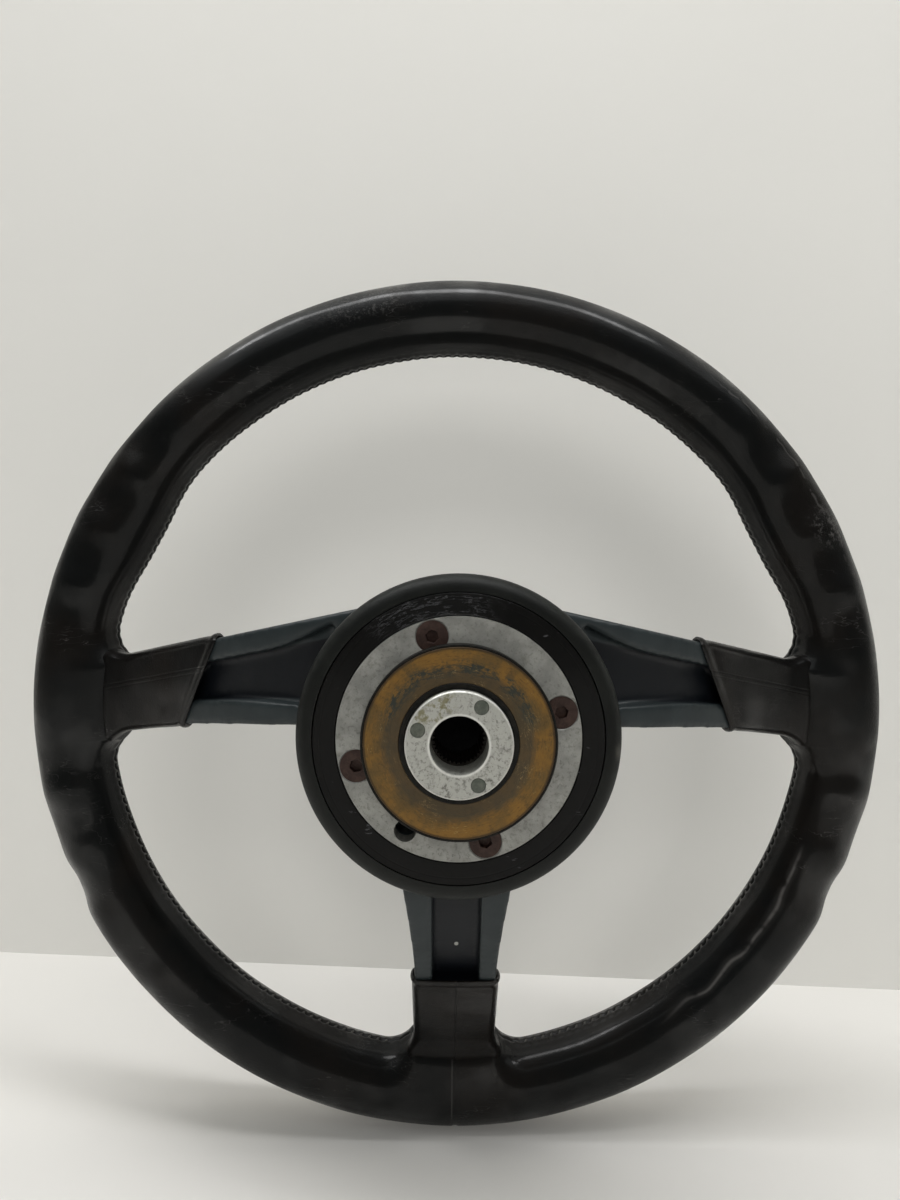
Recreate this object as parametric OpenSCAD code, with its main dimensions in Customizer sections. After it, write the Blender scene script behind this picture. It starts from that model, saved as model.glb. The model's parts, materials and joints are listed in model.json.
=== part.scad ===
// Deep-dished three-spoke car steering wheel with a leather grip, a column shroud and a horn slip ring.
// Every module works in the wheel's own axes: z runs along the axis from the grip ring's centre plane
// towards the steering column, y is up and x is to the right as the column side is seen.
// place() turns that into the part's frame: origin at the hub's end face, column towards -Y, +Z up.

/* [Grip ring] */
// Outside diameter of the leather-covered ring
rim_d = 380; // [360:1:400]
// Diameter of the grip's round section
grip_d = 32.6; // [30:0.2:36]
// Height of the hub's end face over the ring's centre plane
dish = 104; // [96:1:110]
// Thickness of the leather
leather_t = 1.3; // [0.8:0.1:1.8]
// Width of the seam along the inside of the ring
seam_w = 0.8; // [0.4:0.1:2]
// Diameter of the steel rod inside the foam
core_d = 10; // [8:0.5:14]
// Height of the thumb swellings
thumb_h = 3.5; // [0:0.5:5]
// Angle of the thumb swellings above the side arms
thumb_angle = 28; // [22:1:36]
// Half length of a thumb swelling, as an angle
thumb_half = 8.5; // [5:0.5:11]
// Depth of the finger hollows
finger_depth = 2.2; // [0:0.2:3]
// Angle between two finger hollows
finger_pitch = 9; // [7:0.5:10]
// Depth of the notch where the lowest finger lies
notch_depth = 3.2; // [0:0.2:4]

/* [Arms] */
// Thickness of an arm between the hub and its leather sleeve
arm_t = 10; // [8:0.5:12]
// Thickness of an arm's tip inside the grip
tip_t = 10; // [6:0.5:12]
// Height of a side arm's upper edge over the axis, at the middle of the hub
side_top = 52.4; // [50:0.2:54]
// Fall of a side arm's upper edge for each millimetre outwards
side_fall = 0.218; // [0.2:0.002:0.24]
// Drop of a side arm's lower edge at the grip ring
side_sag = 13.5; // [10:0.5:15]
// Half width of the bottom arm at its leather sleeve
low_half = 16.3; // [14:0.1:18]
// Width added to each side of the bottom arm at the hub
low_flare = 5; // [3:0.2:8]
// Depth of the channel between an arm's flanges
channel_depth = 5; // [2:0.5:6]
// Width of the flange along a side arm's upper edge
upper_flange = 8.6; // [6:0.2:10]
// Width of the flange along a side arm's lower edge
lower_flange = 9.8; // [6:0.2:11]
// Half width of the channel in the bottom arm
low_channel = 9.2; // [6:0.2:11]

/* [Leather sleeves] */
// Length of a side arm's sleeve along its upper edge
sleeve_top_l = 62.9; // [54:0.1:68]
// Length of a side arm's sleeve along its lower edge
sleeve_low_l = 47.9; // [44:0.1:58]
// Length of the bottom arm's sleeve
sleeve_l = 53; // [46:0.5:60]

/* [Hub] */
// Diameter of the hub's boss
boss_d = 36.3; // [35:0.1:38]
// Length of the boss beyond the flange
boss_l = 12; // [10:0.5:14]
// Diameter of the smooth bore in the boss
bore_d = 19.6; // [18:0.1:20.4]
// Length of the smooth bore
bore_l = 15; // [14:0.5:18]
// Diameter of the flange
flange_d = 84.8; // [84:0.2:88]
// Thickness of the flange
flange_t = 8; // [6:0.5:10]
// Diameter of the spigot in front of the flange
spigot_d = 47; // [44:0.5:50]
// Length of the spigot in front of the flange
spigot_l = 16; // [13:0.5:17]
// Outside diameter of the steel bush
bush_d = 38; // [36:0.5:40]
// Number of splines in the bush
spline_count = 36; // [24:1:40]
// Diameter over the roots of the splines
spline_root_d = 18.2; // [17.4:0.1:19]
// Diameter inside the tips of the splines
spline_tip_d = 16.8; // [15.5:0.1:17.2]
// Diameter of the dowel pins
dowel_d = 5; // [3:0.5:6]
// Distance of the dowel pins from the axis
dowel_at = 14.6; // [14.2:0.1:15]
// Length of the dowel pins
dowel_l = 22; // [19:0.5:26]
// Diameter of the empty wire hole
wire_hole_d = 7.6; // [5:0.2:8]
// Distance of the empty wire hole from the axis
wire_hole_at = 36.5; // [36:0.1:37.4]
// Diameter of the hole for the horn lead
lead_hole_d = 4.4; // [3.6:0.2:5]

/* [Hub screws] */
// Diameter of the hub screws' circle
screw_circle_d = 73; // [72:0.2:73.6]
// Diameter of a hub screw's countersunk head
screw_head_d = 11.5; // [10:0.1:11.8]
// Diameter of a hub screw's shank
screw_d = 6; // [4:0.5:7]
// Length of a hub screw
screw_l = 17.5; // [12:0.5:20]
// Size of the hexagon socket across its flats
socket_w = 4; // [3:0.5:4.5]
// Depth of the hexagon socket
socket_depth = 2.4; // [1.5:0.1:3]

/* [Slip ring] */
// Outside diameter of the brass ring
brass_d = 64.6; // [62:0.2:65.4]
// Inside diameter of the brass ring
brass_hole_d = 40.6; // [40.2:0.2:44]
// Thickness of the brass ring
brass_t = 1.6; // [1:0.1:2]
// Height of the brass ring's face over the flange
brass_lift = 8; // [6:0.5:9]
// Thickness of the insulator's rim round the brass
insulator_rim = 0.9; // [0.6:0.1:1.2]

/* [Shroud] */
// Width of the shroud's face outside the trim ring
collar_w = 6.4; // [5:0.2:9]
// Wall thickness of the shroud
shroud_wall = 3; // [2:0.5:4]
// Taper of the shroud's wall towards its front edge, on each side
shroud_taper = 1.6; // [0:0.2:2]
// Width of the trim ring
trim_w = 7.8; // [7:0.1:9]
// Thickness of the trim ring
trim_t = 4.2; // [3:0.2:5]

/* [Hub cup] */
// Space between the cup in the middle of the casting and the shroud's front edge
cup_side_gap = 5.1; // [4.5:0.1:6]
// Wall thickness of the cup
cup_wall = 6; // [4:0.5:6.5]
// Thickness of the cup's floor
cup_floor = 9; // [6:0.5:10]
// Depth of the cup in front of its floor
cup_depth = 17; // [16:0.5:20]
// Diameter of the posts that carry the horn plate
post_d = 10; // [8:0.5:11]
// Distance of the posts from the axis
post_at = 36; // [35.4:0.1:36.4]
// Length of the posts
post_l = 11.5; // [9:0.5:12]

/* [Horn] */
// Thickness of the horn plate and of the pad's plate
plate_t = 1.5; // [1:0.1:2]
// Diameter of the nut's opening in the pad's plate
pad_opening_d = 44; // [38:1:48]
// Diameter of the nut's opening in the horn plate
nut_opening_d = 52; // [48:1:54]
// Diameter of the horn plate's screws
post_screw_d = 4; // [3:0.5:5]
// Length of the horn plate's screws
post_screw_l = 8; // [5:0.5:10]
// Space between the horn plate and the pad's plate at rest
spring_l = 8; // [7:0.5:9]
// Wire thickness of the return springs
spring_wire = 0.9; // [0.6:0.1:1.2]
// Outside diameter of the return springs
spring_d = 9.6; // [8:0.2:10]
// Number of turns of a return spring
spring_turns = 4; // [3:1:6]
// Diameter of the guide pins
pin_d = 5; // [4:0.5:6]
// Distance of the guide pins from the axis
pin_at = 36.4; // [36:0.1:37]
// Diameter of the guide pins' heads
pin_head_d = 8.4; // [7:0.2:9]
// Thickness of the guide pins' heads
pin_head_t = 2; // [1.5:0.1:2.5]
// Travel of the horn pad before its contacts meet
contact_gap = 2.5; // [1.5:0.1:3]
// Diameter of the horn pad
pad_d = 104; // [96:1:112]
// Depth of the horn pad's skirt
pad_depth = 14; // [10:0.5:20]
// Height of the horn pad's domed face
pad_dome = 5; // [2:0.5:8]
// Wall thickness of the horn pad
pad_wall = 2.6; // [2:0.2:4]

/* [Hidden] */
$fn = 96;

// Clearances and small edges
eps = 0.01;
chamfer = 0.6;          // on the boss's end
over = 1;               // of a cut past the face that it opens
glue_gap = 0.15;        // between leather and the metal it is glued to
foam_gap = 0.25;        // between leather and foam
cast_gap = 0.25;        // between the foam and the metal inside it
press_gap = 0.02;       // round pressed and threaded pieces
slide_gap = 0.05;       // round the guide pins
seat_gap = 0.3;         // round covers and rings

// Grip ring
ring_r = (rim_d - grip_d) / 2;
grip_r = grip_d / 2;
foam_r = grip_r - leather_t - foam_gap;
core_r = core_d / 2;
section_steps = 24;     // round the grip
long_steps = 44;        // along the ring's top
short_steps = 22;       // along each lower quarter
open_steps = 5;         // where an arm passes
seam_half = asin(seam_w / 2 / grip_r);

// Finger hollows: four over each side arm and three under it, the lowest one deeper
finger_top = thumb_angle + 12;
lower_finger_top = -8;
finger_angles = [for (i = [0:3]) finger_top - i * finger_pitch];
lower_finger_angles = [for (i = [0:1]) lower_finger_top - i * finger_pitch];
notch_angle = lower_finger_top - 2 * finger_pitch;
finger_half = 0.36 * finger_pitch;

// Where round the grip's section each relief lies, and how far it spreads to either side
thumb_side = 185;
thumb_spread = 62;
finger_side = 62;
finger_spread = 40;
notch_side = 30;
notch_spread = 66;

// Stations along the axis, from the column side forwards
end_z = dish;
flange_z = end_z - boss_l;
seat_z = flange_z - flange_t;
floor_z = seat_z - cup_floor;
front_z = floor_z - cup_depth;
root_z = front_z + arm_t;
spigot_z = seat_z - spigot_l;
bush_top_z = end_z - bore_l;
base_back_z = floor_z - post_l;
base_front_z = base_back_z - plate_t;
carrier_back_z = base_front_z - spring_l;
carrier_front_z = carrier_back_z - plate_t;
pad_front_z = carrier_back_z - pad_depth;
trim_in_r = flange_d / 2 + seat_gap;
trim_out_r = trim_in_r + trim_w;
groove_r = trim_out_r + seat_gap;
shroud_r = groove_r + collar_w;
shoulder = collar_w - 0.4;
cup_r = shroud_r - shroud_taper - shroud_wall - cup_side_gap;
shoulder_z = flange_z - 0.4;

// Slip ring
carrier_bore_r = boss_d / 2 + seat_gap;
brass_z = flange_z + brass_lift;
track_foot_z = brass_z - brass_t;
carrier_step = 0.4;     // of the insulator's outer rim under the brass, and of its inner rim over it
tag_h = 1;              // of the solder tag under the brass

// Hub screws and holes
screw_angles = [15, 105, 195, 285];
screw_sink = 0.2;       // of the heads under the flange's face
wire_hole_angle = 240;
lead_angle = 330;
lead_at = 28.6;
lead_r = 1.2;
dowel_angles = [60, 160, 296];
dowel_sink = 0.1;

// Horn
post_angles = [60, 180, 300];
pin_angles = [0, 120, 240];
contact_at = 29;
contact_half = 2;
insulator_half = 2.4;
insulator_t = 1.2;
contact_t = 1;
contact_front_z = base_front_z - insulator_t - contact_t;
stud_angle = 90;
stud_r = 2;
rivet_r = 1.5;
rivet_h = 1;            // past the plate on either side
post_head_r = 0.9 * post_screw_d;
post_head_h = 2;
tail_r = pin_d / 2 - 1; // of the guide pins under their shoulders
pin_tail = 3;

// Arms, each laid out along +x: flat at the hub, a swan neck, a straight slope, a bend, level into the ring
arm_steps = 14;
curve_steps = 8;
arm_flat_x = cup_r + 8.5;
arm_level_x = ring_r + 2;
arm_tip_x = ring_r - 2;
ring_in = ring_r - grip_r;
sleeve_top_x = ring_in - sleeve_top_l;
sleeve_low_x = ring_in - sleeve_low_l;
sleeve_end = ring_in - sleeve_l;
arm_lean = 0.733;       // fall of the slope for each millimetre outwards
slope_run = 30;
neck_run = 22;
neck_pull = 18;
front_lead = 4;         // of the neck on the front side
back_bend = [ring_r - 24, 13];
back_start = back_bend + slope_run * [-1, arm_lean];
front_shift = arm_t * [-arm_lean, -1] / norm([1, arm_lean]);
front_bend = back_bend + front_shift;
front_start = back_start + front_shift;

function quadratic(a, b, c, t) = (1 - t) * (1 - t) * a + 2 * (1 - t) * t * b + t * t * c;
function cubic(a, b, c, d, t) = (1 - t) * quadratic(a, b, c, t) + t * quadratic(b, c, d, t);

// Side view of one face of an arm
function arm_side(flat_x, root, start, bend, tip) = concat(
    [[0, root]],
    let (knee = [flat_x + neck_run, root], rise = start + neck_pull * [-1, arm_lean])
        [for (i = [0:curve_steps]) cubic([flat_x, root], knee, rise, start, i / curve_steps)],
    let (corner = [bend[0] + (bend[1] - tip) / arm_lean, tip])
        [for (i = [0:curve_steps]) quadratic(bend, corner, [arm_level_x, tip], i / curve_steps)]);
back_side = arm_side(arm_flat_x, root_z, back_start, back_bend, tip_t / 2);
front_side = arm_side(arm_flat_x - front_lead, front_z, front_start, front_bend, -tip_t / 2);

// Moves a path sideways by g, to its left as it is walked
function path_normal(p, i) = let (d = p[min(i + 1, len(p) - 1)] - p[max(i - 1, 0)]) [-d[1], d[0]] / norm(d);
function shifted(p, g) = [for (i = [0:len(p) - 1]) p[i] + g * path_normal(p, i)];
function reversed(p) = [for (i = [len(p) - 1:-1:0]) p[i]];
function band(upper, lower, g) = concat(shifted(upper, g), reversed(shifted(lower, -g)));

// Face view of an arm: its upper and lower edge at a distance x from the axis
edge_power = 1.9;
side_low = 0.3;         // height of a side arm's lower edge at the hub
function side_upper(x) = side_top - side_fall * x;
function side_lower(x) = side_low
    - side_sag * pow(max(0, x - arm_flat_x) / (ring_in - arm_flat_x), edge_power);
function low_edge(x) = low_half
    + low_flare * pow(max(0, sleeve_end - x) / (sleeve_end - arm_flat_x), edge_power);
function upper_edge(kind, x) = kind == "side" ? side_upper(x) : low_edge(x);
function lower_edge(kind, x) = kind == "side" ? side_lower(x) : -low_edge(x);
function edge_path(kind, upper, from, to) = [for (i = [0:arm_steps])
    let (x = from + (to - from) * i / arm_steps) [x, upper ? upper_edge(kind, x) : lower_edge(kind, x)]];

// Channel between the flanges, from under the shroud to under the leather sleeve, rounded towards the hub
channel_in = cup_r - 1.5;
round_power = 1.5;
upper_round = [24, 5.2];
lower_round = [39, 4];
sleeve_lap = 5;
function rounded_in(x, size) = size[1] * pow(max(0, channel_in + size[0] - x) / size[0], round_power);
function channel_upper(kind, x) = kind == "side"
    ? side_upper(x) - upper_flange + rounded_in(x, upper_round) : low_channel;
function channel_lower(kind, x) = kind == "side"
    ? side_lower(x) + lower_flange - rounded_in(x, lower_round) : -low_channel;
function channel_out(kind, upper) = sleeve_lap
    + (kind == "low" ? sleeve_end : upper ? sleeve_top_x : sleeve_low_x);
function channel_path(kind, upper, from) = let (to = channel_out(kind, upper)) [for (i = [0:arm_steps])
    let (x = from + (to - from) * i / arm_steps)
    [x, upper ? channel_upper(kind, x) : channel_lower(kind, x)]];

module place() {
    translate([0, dish, 0]) rotate([90, 0, 0]) children();
}

module tube(r_out, r_in, z0, z1) {
    translate([0, 0, z0]) difference() {
        cylinder(r = r_out, h = z1 - z0);
        translate([0, 0, -1]) cylinder(r = r_in, h = z1 - z0 + 2);
    }
}

module rod(r, z0, z1) {
    translate([0, 0, z0]) cylinder(r = r, h = z1 - z0);
}

module around(at, angles) {
    for (a = angles) rotate([0, 0, a]) translate([at, 0, 0]) children();
}

// A view from the face and a view from the side, crossed
module crossed(face, side) {
    intersection() {
        translate([0, 0, -ring_r]) linear_extrude(height = ring_r + 2 * dish) polygon(face);
        rotate([90, 0, 0]) translate([0, 0, -ring_r]) linear_extrude(height = 2 * ring_r) polygon(side);
    }
}

// An arm's full section from x = from_upper and from_lower outwards, grown by g on every side
module arm_blank(kind, from_upper, from_lower, g) {
    upper = edge_path(kind, true, from_upper, arm_tip_x + g);
    lower = edge_path(kind, false, from_lower, arm_tip_x + g);
    crossed(band(upper, lower, g), band(back_side, front_side, g));
}

module arm_channel(kind, g) {
    floor_path = shifted(back_side, g - channel_depth);
    from = channel_in + 2 * g;
    crossed(band(channel_path(kind, true, from), channel_path(kind, false, from), -g),
        concat(floor_path, reversed([for (p = floor_path) p + [0, channel_depth + arm_t]])));
}

module arm(kind, g = 0) {
    difference() {
        arm_blank(kind, 0, 0, g);
        arm_channel(kind, g);
    }
}

// The same thing on the right arm, the left arm and the bottom arm
module on_right() { children(); }
module on_left() { mirror([1, 0, 0]) children(); }
module on_bottom() { rotate([0, 0, -90]) children(); }

module arms(g = 0) {
    on_right() arm("side", g);
    on_left() arm("side", g);
    on_bottom() arm("low", g);
}

module ring_tube(r) {
    rotate_extrude() translate([ring_r, 0]) circle(r = r);
}

// Radius of the grip at wheel angle t and section angle p, which is 0 outwards and 90 at the column side
function wrapped(a) = a > 180 ? wrapped(a - 360) : (a < -180 ? wrapped(a + 360) : a);
function bump(x, half) = exp(-pow(abs(x) / half, 2.6));
function from_arm(t) = abs(wrapped(t)) > 90 ? wrapped(180 - t) : wrapped(t);
function row(t, angles) = max([for (a = angles) bump(from_arm(t) - a, finger_half)]);
function swelling(t, p) = thumb_h * bump(from_arm(t) - thumb_angle, thumb_half)
    * bump(wrapped(p - thumb_side), thumb_spread);
function hollows(t, p) = finger_depth * row(t, concat(finger_angles, lower_finger_angles))
    * bump(wrapped(p - finger_side), finger_spread);
function notch(t, p) = notch_depth * bump(from_arm(t) - notch_angle, finger_half)
    * bump(wrapped(p - notch_side), notch_spread);
function grip_at(t, p) = grip_r + swelling(t, p) - hollows(t, p) - notch(t, p);

// Stretches of the ring: [first angle, last angle, steps, whether an arm opens the leather there]
open_margin = 1.5;
function edge_angle(y) = atan2(y, ring_in);
side_open = [edge_angle(side_lower(ring_in)) - open_margin, edge_angle(side_upper(ring_in)) + open_margin];
low_open = edge_angle(low_edge(ring_in)) + open_margin;
nick = 0.4;
stretches = [
    [side_open[0], side_open[1], open_steps, true],
    [side_open[1] + nick, 180 - side_open[1] - nick, long_steps, false],
    [180 - side_open[1], 180 - side_open[0], open_steps, true],
    [180 - side_open[0] + nick, 270 - low_open - nick, short_steps, false],
    [270 - low_open, 270 + low_open, open_steps, true],
    [270 + low_open + nick, 360 + side_open[0] - nick, short_steps, false]];
ring_stops = [for (s = stretches) for (i = [0:s[2]]) [s[0] + (s[1] - s[0]) * i / s[2], s[3]]];

// A closed sweep round the axis: each section is a list of [section angle, radius]. The foam's faces are halved
// along their other diagonal, as the leather's inner ones are.
function swept_point(t, p, r) = let (q = ring_r + r * cos(p)) [q * cos(t), q * sin(t), r * sin(p)];
function sweep_faces(rings, n, other = false) = [for (i = [0:rings - 1]) for (j = [0:n - 1])
    let (a = i * n, b = ((i + 1) % rings) * n, k = (j + 1) % n)
    each other ? [[a + j, a + k, b + j], [a + k, b + k, b + j]]
        : [[a + j, a + k, b + k], [a + j, b + k, b + j]]];

// The leather strip: its two edges meet along the inside of the ring and part round each arm. The foam's
// sections have the same angles, so its faces lie under the leather's, and it is flat where an arm enters.
open_at = 170;
open_half = 35;
function skin(t, open, depth) =
    let (mid = open ? open_at : 180, half = open ? open_half : seam_half, span = 360 - 2 * half)
    [for (j = [0:section_steps]) let (p = mid + half + span * j / section_steps) [p, grip_at(t, p) - depth]];

module spider() {
    color([0.25, 0.30, 0.35]) place() {
        difference() {
            union() {
                arms();
                rod(cup_r, front_z, seat_z);
            }
            rod(cup_r - cup_wall, front_z - over, floor_z);
            rod(spigot_d / 2 + seat_gap, floor_z - over, seat_z + over);
            around(screw_circle_d / 2, screw_angles) rod(screw_d / 2, floor_z - over, seat_z + over);
            around(wire_hole_at, [wire_hole_angle]) rod(wire_hole_d / 2, floor_z - over, seat_z + over);
            around(lead_at, [lead_angle]) rod(lead_hole_d / 2, floor_z - over, seat_z + over);
            ring_tube(core_r + press_gap);
        }
        around(post_at, post_angles) tube(post_d / 2, post_screw_d / 2, base_back_z, floor_z + eps);
    }
}

// Steel ring that the arms' tips are welded to
module rim_core() {
    color([0.30, 0.30, 0.29]) place() ring_tube(core_r);
}

module rim_foam() {
    points = [for (s = ring_stops)
        for (q = skin(s[0], s[1], leather_t + foam_gap)) swept_point(s[0], q[0], q[1])];
    color([0.12, 0.12, 0.12]) place() difference() {
        polyhedron(points, sweep_faces(len(ring_stops), section_steps + 1, true), convexity = 6);
        ring_tube(core_r + cast_gap);
        on_right() arm_blank("side", 0, 0, cast_gap);
        on_left() arm_blank("side", 0, 0, cast_gap);
        on_bottom() arm_blank("low", 0, 0, cast_gap);
    }
}

module rim_leather() {
    points = [for (s = ring_stops) let (inner = reversed(skin(s[0], s[1], leather_t)))
        for (q = concat(skin(s[0], s[1], 0), inner)) swept_point(s[0], q[0], q[1])];
    color([0.07, 0.065, 0.06]) place()
        polyhedron(points, sweep_faces(len(ring_stops), 2 * (section_steps + 1)), convexity = 10);
}

// Leather sleeve round the outer end of an arm, up to the grip's foam
module wrap(kind, from_upper, from_lower) {
    difference() {
        arm_blank(kind, from_upper, from_lower, glue_gap + leather_t);
        arm_blank(kind, from_upper - arm_t, from_lower - arm_t, glue_gap);
        ring_tube(foam_r + glue_gap);
    }
}

module wrap_left() {
    color([0.08, 0.075, 0.07]) place() on_left() wrap("side", sleeve_top_x, sleeve_low_x);
}

module wrap_right() {
    color([0.08, 0.075, 0.07]) place() on_right() wrap("side", sleeve_top_x, sleeve_low_x);
}

module wrap_bottom() {
    color([0.08, 0.075, 0.07]) place() on_bottom() wrap("low", sleeve_end, sleeve_end);
}

module hub() {
    color([0.72, 0.72, 0.70]) place() difference() {
        union() {
            rod(boss_d / 2, seat_z, end_z - chamfer);
            translate([0, 0, end_z - chamfer])
                cylinder(r1 = boss_d / 2, r2 = boss_d / 2 - chamfer, h = chamfer);
            rod(flange_d / 2, seat_z, flange_z);
            rod(spigot_d / 2, spigot_z, seat_z + eps);
        }
        rod(bore_d / 2, spigot_z, end_z + over);
        rod(bush_d / 2, spigot_z - over, bush_top_z);
        around(dowel_at, dowel_angles) rod(dowel_d / 2, bush_top_z - over, end_z + over);
        around(screw_circle_d / 2, screw_angles) {
            rod(screw_d / 2 + seat_gap, seat_z - over, flange_z + over);
            countersink(screw_head_d / 2 + seat_gap);
        }
        around(wire_hole_at, [wire_hole_angle]) rod(wire_hole_d / 2, seat_z - over, flange_z + over);
        around(lead_at, [lead_angle]) rod(lead_hole_d / 2, seat_z - over, flange_z + over);
    }
}

// A right-angled cone whose mouth of radius r lies in the flange's face
module countersink(r) {
    translate([0, 0, flange_z - r]) cylinder(r1 = 0, r2 = r + over, h = r + over);
}

module splined_bush() {
    teeth = [for (i = [0:4 * spline_count - 1])
        let (a = 90 * (i - 0.5) / spline_count, r = (i % 4 < 2 ? spline_tip_d : spline_root_d) / 2)
        r * [cos(a), sin(a)]];
    color([0.45, 0.43, 0.40]) place() difference() {
        rod(bush_d / 2 - press_gap, spigot_z, bush_top_z);
        translate([0, 0, spigot_z - over])
            linear_extrude(height = bush_top_z - spigot_z + 2 * over) polygon(teeth);
        around(dowel_at, dowel_angles) rod(dowel_d / 2, end_z - dowel_l, bush_top_z + over);
    }
}

module dowel_pins() {
    color([0.42, 0.45, 0.42]) place() around(dowel_at, dowel_angles)
        rod(dowel_d / 2 - press_gap, end_z - dowel_l + press_gap, end_z - dowel_sink);
}

module hub_screws() {
    head_r = screw_head_d / 2;
    top_z = flange_z - screw_sink;
    color([0.22, 0.15, 0.13]) place() around(screw_circle_d / 2, screw_angles) difference() {
        union() {
            rod(screw_d / 2 - press_gap, top_z - screw_l, top_z);
            translate([0, 0, top_z - head_r]) cylinder(r1 = 0, r2 = head_r, h = head_r);
        }
        translate([0, 0, top_z - socket_depth])
            cylinder(d = socket_w / cos(30), h = socket_depth + over, $fn = 6);
    }
}

module slip_ring_carrier() {
    rim_r = brass_d / 2 + press_gap + insulator_rim;
    lip_r = brass_hole_d / 2 - press_gap;
    color([0.10, 0.10, 0.09]) place() difference() {
        union() {
            tube(rim_r, carrier_bore_r, flange_z + press_gap, brass_z - carrier_step);
            tube(lip_r, carrier_bore_r, track_foot_z - tag_h, brass_z + carrier_step);
        }
        tube(brass_d / 2 + press_gap, lip_r, track_foot_z, brass_z + over);
        around(lead_at, [lead_angle]) rod(lead_r + press_gap, flange_z - over, track_foot_z + over);
    }
}

module slip_ring() {
    color([0.66, 0.46, 0.20]) place() tube(brass_d / 2, brass_hole_d / 2, track_foot_z + press_gap, brass_z);
}

// Solder tag under the brass ring that the horn lead is joined to
module slip_ring_tab() {
    color([0.66, 0.46, 0.20]) place() around(lead_at, [lead_angle])
        rod(lead_r, track_foot_z - tag_h, track_foot_z);
}

module shroud() {
    inner_r = cup_r + seat_gap;
    edge_r = shroud_r - shroud_taper;
    web_z = shoulder_z - trim_t;
    color([0.12, 0.13, 0.13]) place() difference() {
        rotate_extrude() polygon(concat(
            [[inner_r, root_z + seat_gap], [inner_r, web_z], [groove_r, web_z], [groove_r, shoulder_z]],
            [for (i = [0:6]) let (a = 90 - 15 * i)
                [shroud_r - shoulder + shoulder * cos(a), shoulder_z - shoulder * (1 - sin(a))]],
            [[edge_r, front_z], [edge_r - shroud_wall, front_z],
                [shroud_r - shroud_wall, web_z - shroud_wall], [inner_r + shroud_wall, web_z - shroud_wall],
                [inner_r + shroud_wall, root_z + seat_gap]]));
        arms(seat_gap);
    }
}

module trim_ring() {
    color([0.04, 0.04, 0.04]) place()
        tube(trim_out_r, trim_in_r, shoulder_z - trim_t + press_gap, shoulder_z);
}

module horn_base() {
    color([0.50, 0.50, 0.48]) place() difference() {
        tube(cup_r - cup_wall - seat_gap, nut_opening_d / 2, base_front_z, base_back_z - press_gap);
        around(post_at, post_angles)
            rod(post_screw_d / 2 + press_gap, base_front_z - over, base_back_z + over);
        around(pin_at, pin_angles) rod(pin_d / 2 + slide_gap, base_front_z - over, base_back_z + over);
        around(lead_at, [lead_angle]) rod(lead_r + seat_gap, base_front_z - over, base_back_z + over);
    }
}

module base_screws() {
    color([0.60, 0.60, 0.58]) place() around(post_at, post_angles) {
        rod(post_screw_d / 2 - press_gap, base_front_z - post_head_h / 2, base_front_z + post_screw_l);
        difference() {
            rod(post_head_r, base_front_z - post_head_h, base_front_z - press_gap);
            translate([0, 0, base_front_z - post_head_h])
                cube([post_screw_d, post_screw_d / 5, post_head_h], center = true);
        }
    }
}

module contact_insulator() {
    color([0.35, 0.22, 0.12]) place() difference() {
        tube(contact_at + insulator_half, contact_at - insulator_half, base_front_z - insulator_t,
            base_front_z - press_gap);
        around(lead_at, [lead_angle])
            rod(lead_r + seat_gap, base_front_z - insulator_t - over, base_front_z + over);
    }
}

module contact_ring() {
    color([0.70, 0.52, 0.24]) place()
        tube(contact_at + contact_half, contact_at - contact_half, contact_front_z,
            contact_front_z + contact_t - press_gap);
}

module horn_lead() {
    color([0.45, 0.08, 0.06]) place() around(lead_at, [lead_angle])
        rod(lead_r - press_gap, contact_front_z + contact_t, track_foot_z - tag_h - press_gap);
}

module horn_pad() {
    pad_r = pad_d / 2;
    dome = [for (i = [0:10]) let (a = 9 * i) [pad_r * sin(a), pad_front_z + pad_dome * (1 - 2 * cos(a))]];
    color([0.06, 0.06, 0.065]) place() {
        rotate_extrude() polygon(concat(dome, [[pad_r, carrier_back_z], [pad_r - pad_wall, carrier_back_z],
            [pad_r - pad_wall, pad_front_z + pad_dome + pad_wall], [0, pad_front_z + pad_wall]]));
        around(pin_at, pin_angles)
            tube(pin_d / 2 + pad_wall, tail_r + press_gap, pad_front_z + over, carrier_front_z - press_gap);
    }
}

module pad_carrier() {
    color([0.50, 0.50, 0.48]) place() difference() {
        tube(pad_d / 2 - pad_wall - seat_gap, pad_opening_d / 2, carrier_front_z, carrier_back_z);
        around(pin_at, pin_angles) rod(tail_r + press_gap, carrier_front_z - over, carrier_back_z + over);
        around(contact_at, [stud_angle])
            rod(rivet_r + press_gap, carrier_front_z - over, carrier_back_z + over);
        around(post_at, post_angles)
            rod(post_head_r + 2 * seat_gap, carrier_front_z - over, carrier_back_z + over);
    }
}

// Shoulder pins: riveted into the pad's plate, with heads that stop against the back of the horn plate
module guide_pins() {
    color([0.62, 0.62, 0.60]) place() around(pin_at, pin_angles) {
        rod(tail_r, carrier_front_z - pin_tail, carrier_back_z + over);
        rod(pin_d / 2, carrier_back_z + press_gap, base_back_z + pin_head_t);
        rod(pin_head_d / 2, base_back_z + press_gap, base_back_z + pin_head_t);
    }
}

module contact_stud() {
    color([0.70, 0.52, 0.24]) place() around(contact_at, [stud_angle]) {
        rod(rivet_r, carrier_front_z - rivet_h, carrier_back_z + rivet_h);
        rod(stud_r, carrier_back_z + press_gap, contact_front_z - contact_gap);
    }
}

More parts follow.
